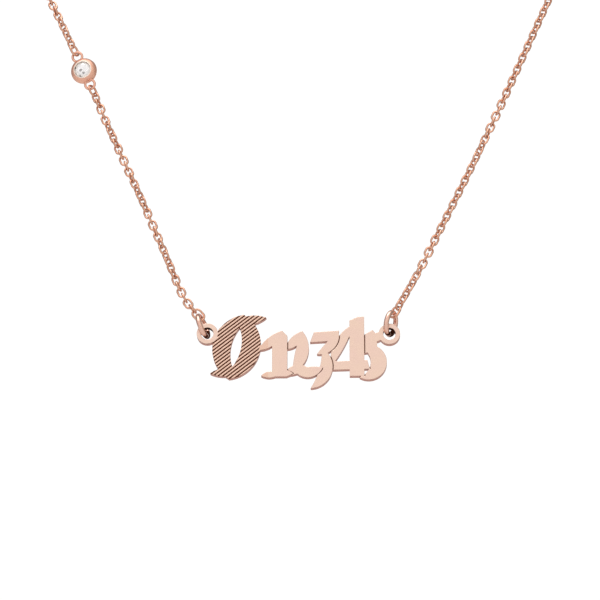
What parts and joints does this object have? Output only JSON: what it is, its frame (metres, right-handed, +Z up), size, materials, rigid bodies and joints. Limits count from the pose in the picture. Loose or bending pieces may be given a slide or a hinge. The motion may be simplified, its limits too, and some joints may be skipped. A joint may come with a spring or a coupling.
{
  "type": "nameplate necklace",
  "caption": "Cable chain necklace closed by a clasp, with a pierced plate of joined figures hanging level between two jump rings and a bezel-set stone in one side.",
  "frame": {"origin": "where the chain crosses the nape, at the middle of the clasp", "axes": "+Z up, front of the plate towards -Y, +X to the right as seen from the front"},
  "size_m": [0.1216, 0.1045, 0.1188],
  "materials": {
    "plate": "satin rose gold plate",
    "wire": "polished rose gold plate",
    "setting": "polished rose gold plate",
    "chain": "polished rose gold plate",
    "stone": "clear, cut and polished"
  },
  "bodies": {
    "necklace": {"jump_ring_left": "wire", "jump_ring_right": "wire", "chain_left_lower": "chain", "link_lower": "chain", "bezel": "setting", "stone": "stone", "link_upper": "chain", "chain_left_upper": "chain", "chain_left_back": "chain", "chain_right_lower": "chain", "chain_right_upper": "chain", "chain_right_back": "chain", "end_link_left": "chain", "end_link_right": "chain", "clasp": "wire", "clasp_ring": "wire"},
    "plate": {"nameplate": "plate"}
  },
  "joints": [
    {"name": "plate_swing", "type": "hinge", "parent": "necklace", "child": "plate", "pos_m": [0, -0.1, -0.107], "axis": [1, 0, 0], "range_deg": [-8, 8]}
  ]
}
